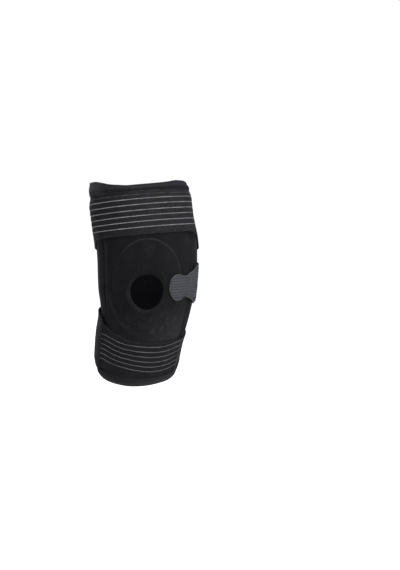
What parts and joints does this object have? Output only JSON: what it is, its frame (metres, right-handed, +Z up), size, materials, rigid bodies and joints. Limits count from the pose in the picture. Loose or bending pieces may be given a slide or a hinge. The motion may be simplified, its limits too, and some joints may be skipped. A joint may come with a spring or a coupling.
{
  "type": "open patella knee brace",
  "caption": "Neoprene knee brace with an open patella hole, elastic thigh and calf straps, side stay pockets and a grey hook tab, in its worn form.",
  "frame": {"origin": "on the axis of the wearer's leg, behind the middle of the patella hole, where the knee sits in the sleeve", "axes": "+Z up along the leg, -Y out of the front where the patella hole is, +X towards the medial side of the wearer's right knee"},
  "size_m": [0.1525, 0.1691, 0.2848],
  "materials": {
    "neoprene": "matt knitted face over foam rubber",
    "tape": "matt folded edge tape",
    "elastic": "woven elastic with light lines",
    "loop": "matt brushed loop cloth",
    "hook": "grey ribbed tab"
  },
  "bodies": {
    "root": {"sleeve": "neoprene", "patella_ring": "neoprene", "top_hem_binding": "tape", "bottom_hem_binding": "tape", "thigh_strap": "elastic", "calf_strap": "elastic", "calf_strap_end": "loop", "lateral_stay_pocket": "neoprene", "medial_stay_pocket": "neoprene", "side_strap": "loop", "hook_tab": "hook"}
  },
  "joints": []
}
